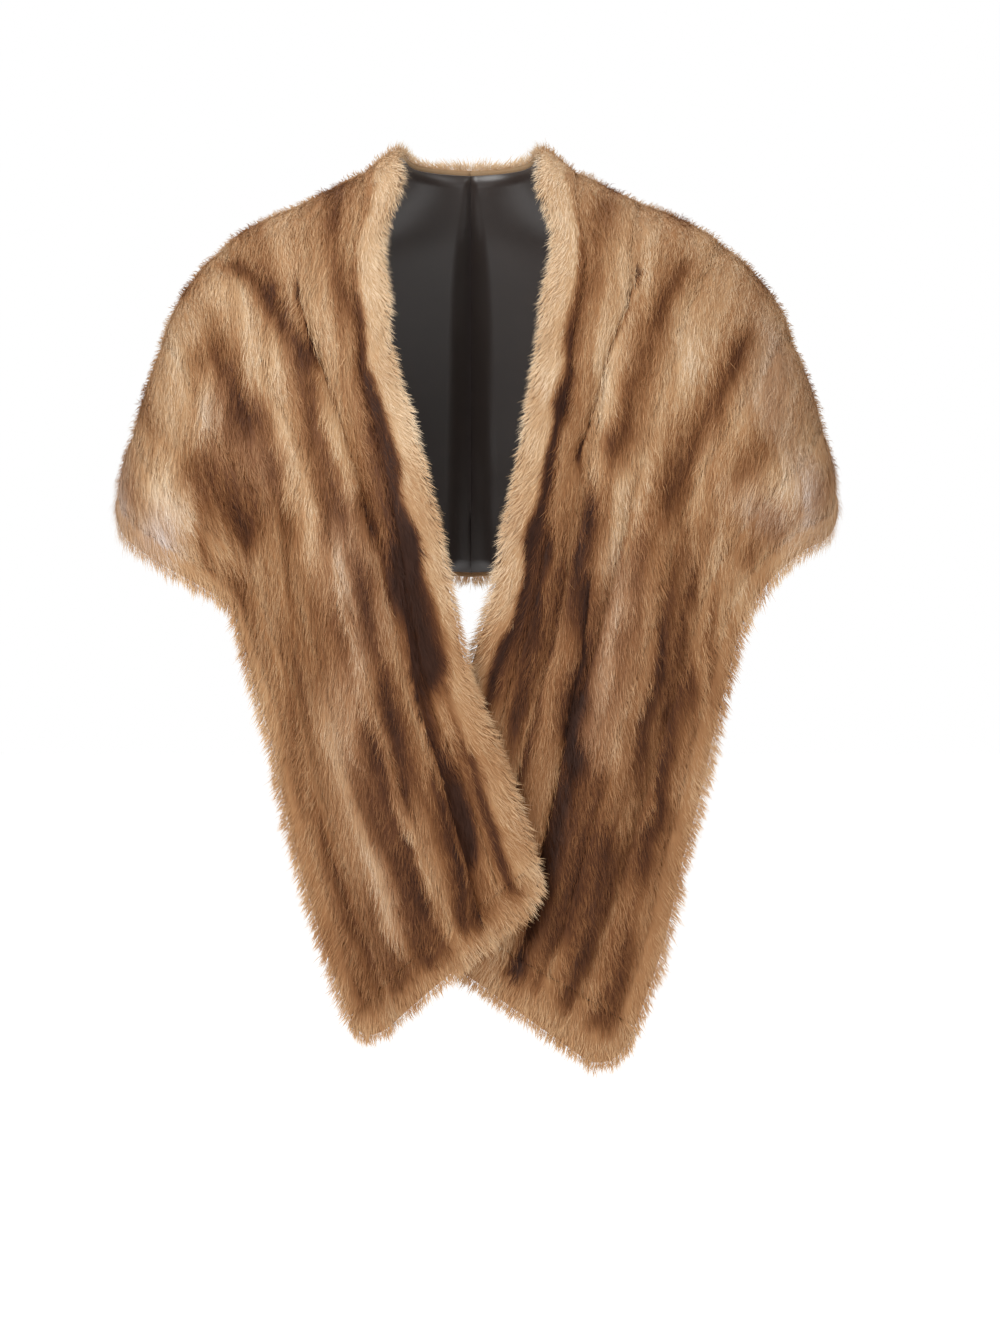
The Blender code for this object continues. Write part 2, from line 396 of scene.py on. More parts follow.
    def streaks(self, marks: tuple, station: np.ndarray, share: np.ndarray) -> np.ndarray:
        """The sum of soft streaks.

        Args:
            marks: the streaks.
            station: the places' stations.
            share: their shares.

        Returns:
            The tones they add there.
        """
        width = np.interp(station, self.stations, self.widths)
        total = np.zeros_like(station)
        for mark in marks:
            t = np.clip((station - mark.start) / (mark.stop - mark.start), 0, 1)
            middle = (mark.share_start + (mark.share_stop - mark.share_start) * t) * width
            past_start, before_stop = station - mark.start + 0.25, mark.stop + 0.25 - station
            ends = ease(past_start / self.mark_fade) * ease(before_stop / self.mark_fade)
            off = np.abs(share * width - middle) / (mark.width * self.mark_core)
            total += mark.tone * ends * np.exp(-(off ** self.mark_power))
        return total


@dataclass(frozen=True)
class Coat:
    """The colours of the fur, from the darkest line down a skin's back to its palest flank."""

    # tone, red, green, blue
    ramp: tuple = (
        (-1.30, 0.036, 0.011, 0.004),
        (-0.80, 0.106, 0.035, 0.011),
        (-0.40, 0.222, 0.089, 0.030),
        (0.00, 0.375, 0.188, 0.080),
        (0.35, 0.510, 0.310, 0.158),
        (0.70, 0.645, 0.466, 0.288),
        (1.20, 0.820, 0.690, 0.510),
    )
    # tint of the painted silvery sheen, a greyish cast on the coat's colour
    sheen_grey: tuple = (0.95, 1.03, 1.34)
    # station, tone: paler over the shoulders and darker down the fronts, partly the coat's own colour and
    # partly painted light from above
    length_tone_and_light: tuple = (
        (0.0, 0.30), (3.0, 0.42), (4.6, 0.48), (6.0, 0.33), (7.2, 0.10), (8.5, -0.01), (11.0, 0.00),
        (14.0, 0.02),
    )
    # station, strength of the fine streaks
    fine_strength: tuple = ((2.4, 0.15), (3.6, 0.32), (6.0, 0.34), (8.0, 0.44))
    # size across in metres, shift, rate along, weight
    fine_layers: tuple = ((0.0055, 9.0, 1.1, 0.55), (0.012, 70.0, 0.7, 0.45))
    wander_layers: tuple = ((0.022, 0.0, 2.2, 0.0034), (0.008, 40.0, 6.0, 0.0014))
    # station, share of the border's cloth that is pale
    border_reach: tuple = ((4.5, 0.76), (7.0, 0.60), (9.0, 0.50))
    border_tone: float = 0.74
    border_shadow_off: float = 0.0055
    border_shadow_width: float = 0.004
    hem_tone: float = 0.42
    end_tone: float = 0.40
    edge_softness: float = 0.0075
    back_line_width: float = 0.17
    flank_tone: float = 0.28
    parting_tone: float = -0.95
    parting_width: float = 0.0022
    seed_step: int = 21

    def colour(self, tone: np.ndarray, sheen_grey: np.ndarray) -> np.ndarray:
        """Linear colours of the coat.

        Args:
            tone: tones on the ramp.
            sheen_grey: how much painted silvery sheen each has, as a greyish cast, from 0 to 1.

        Returns:
            Red, green and blue in a last axis.
        """
        ramp = np.array(self.ramp)
        base = np.stack([np.interp(tone, ramp[:, 0], ramp[:, k]) for k in (1, 2, 3)], axis=-1)
        return base * (1 + (np.array(self.sheen_grey) - 1) * np.clip(sheen_grey, 0, 1)[..., None])

    def layered(self, warp: "Noise", layers: tuple, over: np.ndarray, station: np.ndarray) -> np.ndarray:
        """Noise drawn out along the length, in layers of several sizes."""
        return sum(weight * warp(over / size + shift, station * rate) for size, shift, rate, weight in layers)

    def back_lines(self, warp: "Noise", seams: np.ndarray, station: np.ndarray,
                   share: np.ndarray) -> np.ndarray:
        """The dark line down each skin's back and its paler flanks.

        Args:
            warp: the noise that moves and fades the lines.
            seams: the seams' shares.
            station: the places' stations.
            share: their shares.

        Returns:
            The tones they add, which are faint in front, where the marks are.
        """
        strength = 0.20 + 0.50 * ease((3.4 - station) / 1.4)
        total = np.zeros_like(station)
        for k in range(1, 6):
            t = (share - seams[..., k]) / (seams[..., k + 1] - seams[..., k])
            inside = (t >= 0) & (t < 1)
            middle = 0.5 + 0.16 * warp(station * 0.55 + 7.3 * k, np.full_like(station, 2.7 * k))
            depth = 1 + 0.55 * warp(station * 0.8 + 3.1 * k, np.full_like(station, 11.9 * k))
            line = depth * np.exp(-(((t - middle) / self.back_line_width) ** 2))
            total += inside * strength * (self.flank_tone - line)
        return total

    def neck_tone(self, warp: "Noise", station: np.ndarray) -> np.ndarray:
        """The tone of the border along the neck edge, paler here and there."""
        patches = 0.16 * warp(station * 2.1, station * 0.4 + 31)
        return self.border_tone - 0.34 * ease((station - 7.0) / 3) + patches

    def tone(self, half: Half, station: np.ndarray, share: np.ndarray) -> np.ndarray:
        """The coat's tone, with its streaks, partings, borders and painted light from above.

        Args:
            half: the half of the stole.
            station: the places' stations.
            share: their shares.

        Returns:
            Tones on the ramp.
        """
        seams = half.seams(station)
        width = np.interp(station, half.stations, half.widths)
        warp = Noise(half.seed + self.seed_step)
        moved = self.layered(warp, self.wander_layers, share * width, station)
        share = np.clip(share + moved / width, 0, 1)
        over = share * width
        # the tone along the length includes painted light: paler shoulders lit from above, darker fronts
        tone = read_table(self.length_tone_and_light, station) + self.back_lines(warp, seams, station, share)
        tone = tone + half.streaks(half.marks, station, share)
        fine = self.layered(warp, self.fine_layers, over, station)
        tone = tone + fine * read_table(self.fine_strength, station)
        for part in half.partings:
            off, inside = half.beside(part, station, share)
            tone = tone + self.parting_tone * inside * np.exp(-((off / self.parting_width) ** 2))
        return self.edged(half, warp, tone, station, share)

    def edged(self, half: Half, warp: "Noise", tone: np.ndarray, station: np.ndarray,
              share: np.ndarray) -> np.ndarray:
        """Lays the borders' paler tones, and the shadow beside the neck border.

        Args:
            half: the half of the stole.
            warp: the noise that varies them.
            tone: the skins' tones.
            station: the places' stations.
            share: their shares.

        Returns:
            The tones with the borders.
        """
        seams = half.seams(station)
        width = np.interp(station, half.stations, half.widths)
        pale = read_table(self.border_reach, station) + 0.08 * warp(station * 1.3, station * 0.1 + 5.0)
        reach = seams[..., 1] * pale
        beyond = (share - reach) * width - self.border_shadow_off
        depth = 0.30 + 0.30 * warp(station * 0.9 + 17, station * 0.1 + 43.0)
        shadow = depth * ease((station - 3.0) / 1.5) * np.exp(-((beyond / self.border_shadow_width) ** 2))
        soft = self.edge_softness / width
        neck = ease((reach - share) / soft + 0.5)
        hem = ease((share - seams[..., 6]) / soft + 0.2) * (1 - 0.45 * ease((station - 5.6) / 1.0))
        end = ease((station - END_SEAM - 0.15) / 0.35)
        tone = (tone - shadow) * (1 - neck * 0.85) + neck * self.neck_tone(warp, station)
        tone = tone * (1 - hem * 0.75) + hem * self.hem_tone
        return tone * (1 - end * 0.75) + end * self.end_tone * 0.75


class Noise:
    """Smooth noise on a plane, from a small table of seeded values."""

    def __init__(self, seed: int, size: int = 256) -> None:
        """Draws the table."""
        self.table = np.random.default_rng(seed).uniform(-1, 1, (size, size))
        self.size = size

    def __call__(self, x: np.ndarray, y: np.ndarray) -> np.ndarray:
        """Reads the noise.

        Args:
            x: places across, where features are about 1 wide.
            y: the same along.

        Returns:
            Values from -1 to 1.
        """
        i, j = np.floor(x).astype(int), np.floor(y).astype(int)
        a, b = ease(x - i), ease(y - j)
        i, j, after_i, after_j = i % self.size, j % self.size, (i + 1) % self.size, (j + 1) % self.size
        low = self.table[i, j] * (1 - b) + self.table[i, after_j] * b
        high = self.table[after_i, j] * (1 - b) + self.table[after_i, after_j] * b
        return low * (1 - a) + high * a


@dataclass(frozen=True)
class FurFinish:
    """The shader of the fur, whose colours lie on the piece's own attribute."""

    name: str
    roughness: float
    sheen: float
    sheen_tint: tuple = (0.95, 0.80, 0.66, 1.0)
    attribute: str = "coat"
    light_through: float = 0.34
    sheen_roughness: float = 0.45
    specular: float = 0.18
    fleck_scale: float = 420.0
    fleck_strength: float = 0.16

    def build(self) -> bpy.types.Material:
        """Makes the material, which lets some light through as hair does.

        Returns:
            The material.
        """
        made = bpy.data.materials.new(self.name)
        made.use_nodes = True
        nodes, links = made.node_tree.nodes, made.node_tree.links
        shader = nodes["Principled BSDF"]
        shader.inputs["Roughness"].default_value = self.roughness
        shader.inputs["Sheen Weight"].default_value = self.sheen
        shader.inputs["Sheen Roughness"].default_value = self.sheen_roughness
        shader.inputs["Sheen Tint"].default_value = self.sheen_tint
        shader.inputs["Specular IOR Level"].default_value = self.specular
        coat = nodes.new("ShaderNodeAttribute")
        coat.attribute_name = self.attribute
        fleck = nodes.new("ShaderNodeGroup")
        fleck.node_tree = fleck_group()
        fleck.inputs["Scale"].default_value = self.fleck_scale
        fleck.inputs["Strength"].default_value = self.fleck_strength
        links.new(coat.outputs["Color"], fleck.inputs["Colour"])
        links.new(fleck.outputs["Colour"], shader.inputs["Base Color"])
        through = nodes.new("ShaderNodeBsdfTranslucent")
        both = nodes.new("ShaderNodeMixShader")
        both.inputs[0].default_value = self.light_through
        links.new(fleck.outputs["Colour"], through.inputs["Color"])
        links.new(shader.outputs[0], both.inputs[1])
        links.new(through.outputs[0], both.inputs[2])
        links.new(both.outputs[0], nodes["Material Output"].inputs["Surface"])
        return made


@dataclass(frozen=True)
class SatinFinish:
    """The shader of the lining: a dark, smooth satin with a fine diagonal weave."""

    name: str = "lining_satin_finish"
    colour: tuple = (0.020, 0.012, 0.009, 1.0)
    roughness: float = 0.34
    sheen: float = 0.2
    fleck_scale: float = 60.0
    fleck_strength: float = 0.30
    weave_scale: float = 500.0
    weave_depth: float = 0.0002
    weave_strength: float = 0.12

    def build(self) -> bpy.types.Material:
        """Makes the material.

        Returns:
            The material.
        """
        made = bpy.data.materials.new(self.name)
        made.use_nodes = True
        nodes, links = made.node_tree.nodes, made.node_tree.links
        shader = nodes["Principled BSDF"]
        shader.inputs["Roughness"].default_value = self.roughness
        shader.inputs["Sheen Weight"].default_value = self.sheen
        plain = nodes.new("ShaderNodeRGB")
        plain.outputs[0].default_value = self.colour
        fleck = nodes.new("ShaderNodeGroup")
        fleck.node_tree = fleck_group()
        fleck.inputs["Scale"].default_value = self.fleck_scale
        fleck.inputs["Strength"].default_value = self.fleck_strength
        links.new(plain.outputs[0], fleck.inputs["Colour"])
        links.new(fleck.outputs["Colour"], shader.inputs["Base Color"])
        place = nodes.new("ShaderNodeTexCoord")
        weave = nodes.new("ShaderNodeTexWave")
        weave.bands_direction = "DIAGONAL"
        weave.inputs["Scale"].default_value = self.weave_scale
        bump = nodes.new("ShaderNodeBump")
        bump.inputs["Strength"].default_value = self.weave_strength
        bump.inputs["Distance"].default_value = self.weave_depth
        links.new(place.outputs["Object"], weave.inputs["Vector"])
        links.new(weave.outputs["Fac"], bump.inputs["Height"])
        links.new(bump.outputs["Normal"], shader.inputs["Normal"])
        return made


def fleck_group() -> bpy.types.NodeTree:
    """The node group that varies a colour a little from place to place, built once.

    Returns:
        The group.
    """
    name = "Fleck"
    if name in bpy.data.node_groups:
        return bpy.data.node_groups[name]
    tree = bpy.data.node_groups.new(name, "ShaderNodeTree")
    tree.interface.new_socket("Colour", in_out="INPUT", socket_type="NodeSocketColor")
    tree.interface.new_socket("Scale", in_out="INPUT", socket_type="NodeSocketFloat")
    tree.interface.new_socket("Strength", in_out="INPUT", socket_type="NodeSocketFloat")
    tree.interface.new_socket("Colour", in_out="OUTPUT", socket_type="NodeSocketColor")
    nodes, links = tree.nodes, tree.links
    given, out = nodes.new("NodeGroupInput"), nodes.new("NodeGroupOutput")
    place = nodes.new("ShaderNodeTexCoord")
    noise = nodes.new("ShaderNodeTexNoise")
    noise.inputs["Detail"].default_value = 3.0
    centred = nodes.new("ShaderNodeMath")
    centred.operation = "SUBTRACT"
    centred.inputs[1].default_value = 0.5
    scaled = nodes.new("ShaderNodeMath")
    scaled.operation = "MULTIPLY_ADD"
    scaled.inputs[2].default_value = 1.0
    tinted = nodes.new("ShaderNodeVectorMath")
    tinted.operation = "SCALE"
    links.new(place.outputs["Object"], noise.inputs["Vector"])
    links.new(given.outputs["Scale"], noise.inputs["Scale"])
    links.new(noise.outputs["Fac"], centred.inputs[0])
    links.new(centred.outputs[0], scaled.inputs[0])
    links.new(given.outputs["Strength"], scaled.inputs[1])
    links.new(given.outputs["Colour"], tinted.inputs[0])
    links.new(scaled.outputs[0], tinted.inputs["Scale"])
    links.new(tinted.outputs["Vector"], out.inputs["Colour"])
    return tree


def wall(name: str, inner: np.ndarray, outer: np.ndarray, sign: int) -> bpy.types.Object:
    """A closed wall between two sheets of points.

    Args:
        name: the piece's name.
        inner: rows and columns of the inner sheet's points.
        outer: the same of the outer sheet.
        sign: which half of the stole it is on.

    Returns:
        The linked object.
    """
    rows, columns = inner.shape[:2]
    bm = bmesh.new()
    bmesh.ops.create_grid(bm, x_segments=columns - 1, y_segments=rows - 1, size=1.0)
    layer = bm.verts.layers.int.new("place")
    for index, vert in enumerate(bm.verts):
        vert[layer] = index
    made = bmesh.ops.extrude_face_region(bm, geom=bm.faces[:], use_keep_orig=True)
    top = [item for item in made["geom"] if isinstance(item, bmesh.types.BMVert)]
    bmesh.ops.translate(bm, verts=top, vec=(0.0, 0.0, 0.1))
    for vert in top:
        vert[layer] += rows * columns
    bmesh.ops.recalc_face_normals(bm, faces=bm.faces[:])
    mesh = bpy.data.meshes.new(name)
    bm.to_mesh(mesh)
    bm.free()
    order = np.empty(len(mesh.vertices), dtype=np.int32)
    mesh.attributes["place"].data.foreach_get("value", order)
    points = np.concatenate([inner.reshape(-1, 3), outer.reshape(-1, 3)])[order]
    mesh.vertices.foreach_set("co", points.astype(np.float32).ravel())
    if sign > 0:
        mesh.flip_normals()
    mesh.shade_smooth()
    mesh.update()
    made_object = bpy.data.objects.new(name, mesh)
    bpy.context.collection.objects.link(made_object)
    return made_object


def paint(mesh: bpy.types.Mesh, colours: np.ndarray, attribute: str = "coat") -> None:
    """Writes a colour for each vertex of a mesh.

    Args:
        mesh: the mesh.
        colours: red, green and blue of each vertex.
        attribute: the name that the shader reads.
    """
    layer = mesh.color_attributes.new(name=attribute, type="FLOAT_COLOR", domain="POINT")
    full = np.concatenate([colours, np.ones((len(colours), 1))], axis=1)
    layer.data.foreach_set("color", full.astype(np.float32).ravel())


@dataclass
class Strip:
    """A fur strip of one half: its shell of leather and underfur, and its guard hair.

    Crown, seam and edge are the underfur's heights.  Rim hair is the hair along the free edges.
    """

    half: Half
    coat: Coat
    name: str
    first: int
    slot: Slot
    density: float = 0.66e6
    crown: float = 0.0088
    seam: float = 0.0066
    edge: float = 0.0036
    hair: float = 0.0140
    hair_width: float = 0.00050
    rows: int = 176
    columns: int = 13
    edge_share: float = 0.23
    guard_share: float = 0.11
    guard_rise: float = 0.22
    guard_stretch: float = 1.12
    rise: float = 0.12
    rim_trim: float = 0.70
    rim_fineness: float = 0.72
    rim_lean: float = 0.55
    rim_spread: float = 0.60
    stray: float = 0.12
    sink: float = 0.0022
    clump_size: float = 0.0035
    broad_size: float = 0.016
    under_tone: float = -0.28
    inner_shade: float = 0.7
    # tones of root, middle and tip against the coat's
    hair_tones: tuple = (-0.30, -0.02, 0.16)
    end_count: tuple = (14, 60)
    end_lap: float = 0.01
    parting_spread: float = 0.42
    parting_reach: float = 0.007
    parting_crop: float = 0.75
    parting_crop_width: float = 0.0017
    # seams and edges counted from the neck edge, lean toward the hem edge in radians
    lean_table: tuple = (
        (0.0, -0.62), (0.5, -0.28), (1.0, 0.02), (2.0, 0.18), (3.0, 0.28),
        (4.0, 0.36), (5.0, 0.44), (6.0, 0.58), (7.0, 0.95),
    )

    @property
    def across_end(self) -> bool:
        """Whether this strip is the border across the front end."""
        return self.first < 0

    def span(self, station: np.ndarray) -> tuple:
        """Where the strip's two long sides lie.

        Args:
            station: the stations to read.

        Returns:
            The shares of the side toward the neck and of the side toward the hem.
        """
        if self.across_end:
            return np.zeros_like(station), np.ones_like(station)
        seams = self.half.seams(station)
        return seams[..., self.first], seams[..., self.first + 1]

    def underfur(self, station: np.ndarray, t: np.ndarray) -> np.ndarray:
        """How high the underfur stands on the leather.

        Args:
            station: the places' stations.
            t: places across the strip, from 0 to 1.

        Returns:
            The heights.
        """
        low = self.edge if self.first in (-1, 0) else self.seam
        high = self.edge if self.first in (-1, 6) else self.seam
        ends = np.where(t < 0.5, low, high)
        rise = np.sqrt(np.clip(1 - (2 * t - 1) ** 2, 0, 1))
        height = ends + (self.crown - ends) * rise
        if self.across_end:
            past = np.clip((END - station) / (END - END_SEAM), 0, 1)
            height = self.edge + (height - self.edge) * np.sqrt(np.clip(1 - (1 - past) ** 2, 0, 1))
        return height

    def shell(self) -> bpy.types.Object:
        """Builds the shell and its colours, and keeps its cut size.

        Returns:
            The linked object.
        """
        half, lap = self.half, self.end_lap
        start, stop = (END_SEAM + lap, END) if self.across_end else (0.0, END_SEAM - lap)
        count = self.end_count if self.across_end else (self.rows, self.columns)
        t = np.linspace(0.0, 1.0, count[1])[None, :] + np.zeros((count[0], 1))
        station = np.linspace(start, stop, count[0])[:, None] + np.zeros((1, count[1]))
        low, high = self.span(station)
        gap = half.seam_gap / 2 / np.interp(station, half.stations, half.widths)
        share = low + gap + (high - low - 2 * gap) * t
        at = half.drawn_back(station, share)
        place = half.place(at, share)
        inner = place.point
        outer = place.point + place.normal * self.underfur(station, t)[..., None]
        if not self.across_end:
            for sheet in (inner, outer):
                sheet[0, :, 0] = 0.0
        piece = wall(f"{half.name}_{self.name}_pelt", inner, outer, half.sign)
        tone = self.coat.tone(half, at, share) + self.under_tone
        # painted silvery sheen, as a greyish cast on the underfur
        sheen_grey = half.streaks(half.sheen_greys, at, share)
        colours = self.coat.colour(tone, sheen_grey).reshape(-1, 3)
        order = np.empty(len(piece.data.vertices), dtype=np.int32)
        piece.data.attributes["place"].data.foreach_get("value", order)
        paint(piece.data, np.concatenate([colours * self.inner_shade, colours])[order])
        self.flat, self.area = cut_size(inner)
        return piece

    def lean(self, station: np.ndarray, share: np.ndarray, t: np.ndarray) -> np.ndarray:
        """Which way the hair lies.

        Args:
            station: the hairs' stations.
            share: their shares.
            t: their places across the strip.

        Returns:
            The angle from the length toward the hem edge, in radians.
        """
        if self.across_end:
            angle = 0.9 * (share - 0.42)
        else:
            angle = read_table(self.lean_table, self.first + t)
        centre = ease((0.5 - station) / 0.5)
        angle = angle + centre * np.where(self.first == 0, -0.5, 0.45)
        for part in self.half.partings:
            off, inside = self.half.beside(part, station, share)
            spread = self.parting_spread * inside * np.exp(-np.abs(off) / self.parting_reach)
            angle = angle + np.sign(off) * spread
        return angle

    def cropped(self, station: np.ndarray, share: np.ndarray) -> np.ndarray:
        """How short the hair is beside the partings' lines, where the leather nearly shows.

        Args:
            station: the hairs' stations.
            share: their shares.

        Returns:
            A factor on each hair's length.
        """
        kept = np.ones_like(station)
        for part in self.half.partings:
            off, inside = self.half.beside(part, station, share)
            cut = self.parting_crop * inside * np.exp(-((off / self.parting_crop_width) ** 2))
            kept = kept * (1 - cut)
        return kept

    def scatter(self, draw: np.random.Generator) -> tuple:
        """Spreads the hairs' roots evenly over the leather, with more along the free edges.

        Args:
            draw: the random draws.

        Returns:
            Station, place across, whether it is rim hair and a pick from 0 to 1, for each hair,
            and the strip's mean width and area.
        """
        half = self.half
        start, stop = self.reach
        rows = np.linspace(start, stop, 240)
        low, high = self.span(rows)
        width = np.interp(rows, half.stations, half.widths) * (high - low)
        step = half.look_up(half.steps, rows, (low + high) / 2) * (half.rows - 1) / END
        weight = width * step
        parts = (weight[1:] + weight[:-1]) / 2
        area = float((parts * np.diff(rows)).sum())
        count = int(area * self.density)
        total = np.concatenate([[0.0], np.cumsum(parts)])
        station = np.interp(draw.uniform(0, total[-1], count), total, rows)
        t = draw.uniform(0, 1, count)
        rim = draw.uniform(0, 1, count) < self.free * self.edge_share
        pick = draw.uniform(0, 1, count)
        if self.first == 0:
            t = np.where(rim, 0.04 * t, t)
        elif self.first == 6:
            t = np.where(rim, 1 - 0.06 * t, t)
        elif self.across_end:
            station = np.where(rim & (pick < 0.7), END - 0.03 * t, station)
            t = np.where(rim & (pick >= 0.7), np.where(pick < 0.85, 0.01 * t, 1 - 0.01 * t), t)
        return station, t, rim, pick, width.mean(), area

    @property
    def reach(self) -> tuple:
        """The stations between which the strip's hair grows."""
        return (END_SEAM, END) if self.across_end else (0.0, END_SEAM)

    @property
    def free(self) -> bool:
        """Whether the strip lies along a free edge."""
        return self.first in (-1, 0, 6)

    def pile(self) -> bpy.types.Object:
        """Builds the guard hair: two-sided blades of two triangles, joined in one mesh.

        Returns:
            The linked object.
        """
        half = self.half
        noise = Noise(half.seed + 11)
        draw = np.random.default_rng(half.seed * 100 + self.first + 7)
        station, t, rim, pick, mean_width, area = self.scatter(draw)
        count = len(station)
        low, high = self.span(station)
        share = low + (high - low) * t
        at = half.drawn_back(station, share)
        place = half.place(at, share)
        along, across, normal = place.along, place.across, place.normal
        x, y = share * place.width / self.clump_size, at * 8.0
        clump = noise(x, y) * 0.6 + noise(x * 2.7, y * 2.3) * 0.4
        broad = noise(share * place.width / self.broad_size + 50, at * 1.6)
        wave = 0.22 * noise(x * 0.5 + 90, y * 0.6)
        angle = self.lean(at, share, t) + wave + draw.normal(0, self.stray, count)
        flow = along * np.cos(angle)[:, None] + across * np.sin(angle)[:, None]
        height = np.maximum(self.underfur(station, t) - self.sink * draw.uniform(0.2, 1, count), 0.0005)
        out = normal
        if self.free:
            off = self.rim_way(share, pick, along, across)
            turn = draw.uniform(-0.45, 1.25, count)[:, None]
            out = np.where(rim[:, None], unit(off * np.cos(turn) + normal * np.sin(turn)), normal)
            tilted = unit(flow * (self.rim_lean * ease(at / 0.9))[:, None] + off * self.rim_spread)
            flow = np.where(rim[:, None], tilted, flow)
            height = np.where(rim, self.edge * draw.uniform(0.0, 1.0, count), height)
        flow = unit(flow - out * (flow * out).sum(axis=-1, keepdims=True) * 0.85)
        guard = draw.uniform(0, 1, count) < self.guard_share
        length = self.hair * draw.uniform(0.70, 1.12, count) * (1 + 0.12 * clump)
        length = length * np.where(guard, self.guard_stretch, 1.0)
        length = length * np.where(rim, self.rim_trim, 1.0) * self.cropped(at, share)
        side = unit(np.cross(flow, out))
        root = place.point + normal * height[:, None]
        lift = self.rise + 0.05 * clump + draw.normal(0, 0.02, count) + np.where(guard, self.guard_rise, 0.0)
        rise = length * lift
        middle = root + flow * (length * 0.48)[:, None] + out * (rise * 0.85)[:, None]
        bend = side * (length * draw.normal(0, 0.07, count))[:, None]
        tip = root + flow * (length * 0.98)[:, None] + out * rise[:, None] + bend
        wide = self.hair_width * np.where(rim, self.rim_fineness, 1.0) * draw.uniform(0.7, 1.25, count)
        beside = side * (wide / 2)[:, None]
        points = np.stack([root, middle - beside, middle + beside, tip], axis=1)
        if not self.across_end:
            near_back = (at[:, None] < COLLAR_STATION / 2) & (half.sign * points[..., 0] < -half.back_cross)
            points[..., 0] = np.where(near_back, -half.sign * half.back_cross, points[..., 0])
        piece = self.joined(f"{half.name}_{self.name}_hair", points)
        tuft = 0.24 * clump + draw.normal(0, 0.14, count)
        glint = unit(out + side * tuft[:, None] + flow * (0.16 * broad - 0.10)[:, None])
        piece.data.normals_split_custom_set_from_vertices(np.repeat(glint, 4, axis=0))
        tone = self.coat.tone(half, at, share) + 0.13 * clump + 0.12 * broad + draw.normal(0, 0.09, count)
        # painted silvery sheen as a greyish cast, with more of it on the broad paler patches
        sheen_grey = half.streaks(half.sheen_greys, at, share) + 0.10 * np.clip(broad, 0, 1)
        at_root, at_middle, at_tip = self.hair_tones
        shades = np.stack([tone + at_root, tone + at_middle, tone + at_middle, tone + at_tip], axis=1)
        colours = self.coat.colour(shades, np.repeat(sheen_grey[:, None], 4, axis=1))
        paint(piece.data, colours.reshape(-1, 3))
        self.lay_map(piece.data, t, station, angle, length, mean_width, area)
        return piece

    def rim_way(self, share: np.ndarray, pick: np.ndarray, along: np.ndarray,
                across: np.ndarray) -> np.ndarray:
        """The direction straight off the nearest free edge.

        Args:
            share: the hairs' shares.
            pick: which edge of the front end each hair is on: below 0.7 the end, else a side.
            along: the directions along the length.
            across: the directions toward the hem edge.

        Returns:
            The directions.
        """
        if self.first == 0:
            return -across
        if self.first == 6:
            return across
        aside = np.where(share[:, None] < 0.5, -across, across)
        return np.where((pick < 0.7)[:, None], along, aside)

    def joined(self, name: str, points: np.ndarray) -> bpy.types.Object:
        """Joins the blades in one mesh.

        Args:
            name: the piece's name.
            points: root, two middle points and tip of each blade.

        Returns:
            The linked object.
        """
        count = len(points)
        corners = np.array([0, 2, 1, 1, 2, 3])
        loops = (np.arange(count)[:, None] * 4 + corners).ravel()
        mesh = bpy.data.meshes.new(name)
        mesh.vertices.add(count * 4)
        mesh.vertices.foreach_set("co", points.astype(np.float32).ravel())
        mesh.loops.add(len(loops))
        mesh.loops.foreach_set("vertex_index", loops.astype(np.int32))
        mesh.polygons.add(count * 2)
        mesh.polygons.foreach_set("loop_start", np.arange(0, count * 6, 3, dtype=np.int32))
        mesh.polygons.foreach_set("use_smooth", np.ones(count * 2, dtype=bool))
        mesh.update()
        mesh.validate()
        made = bpy.data.objects.new(name, mesh)
        bpy.context.collection.objects.link(made)
        return made

    def lay_map(self, mesh: bpy.types.Mesh, t: np.ndarray, station: np.ndarray, angle: np.ndarray,
                length: np.ndarray, width: float, area: float) -> None:
        """Lays each blade on the piece's own map, where it lies on the strip.

        Args:
            mesh: the joined blades.
            t: their places across the strip.
            station: their stations.
            angle: which way they lie.
            length: their lengths.
            width: the strip's mean width.
            area: the strip's area.
        """
        start, stop = self.reach
        long = area / max(width, 1e-6)
        u, v = t, (station - start) / (stop - start)
        du, dv = np.sin(angle) * length / width, np.cos(angle) * length / long
        wide = 0.5 * self.hair_width
        su, sv = np.cos(angle) * wide / width, -np.sin(angle) * wide / long
        places = np.stack([
            np.stack([u, v], axis=-1),
            np.stack([u + du * 0.5 - su, v + dv * 0.5 - sv], axis=-1),
            np.stack([u + du * 0.5 + su, v + dv * 0.5 + sv], axis=-1),
            np.stack([u + du, v + dv], axis=-1),
        ], axis=1).reshape(-1, 2)
        corners = np.empty(len(mesh.loops), dtype=np.int32)
        mesh.loops.foreach_get("vertex_index", corners)
        layer = mesh.uv_layers.new(name="OFBake")
        layer.uv.foreach_set("vector", np.clip(places[corners], 0.002, 0.998).astype(np.float32).ravel())

    def build(self, finish: bpy.types.Material) -> None:
        """Args:
            finish: the fur's material.
        """
        shell, pile = self.shell(), self.pile()
        for piece in (shell, pile):
            piece.data.materials.append(finish)
            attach(piece, BODY)
        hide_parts(f"{self.half.name}_{self.name}")
        LOG.info("%s: flat %.3f x %.3f m, %d hairs", shell.name, *self.flat, len(pile.data.polygons) // 2)


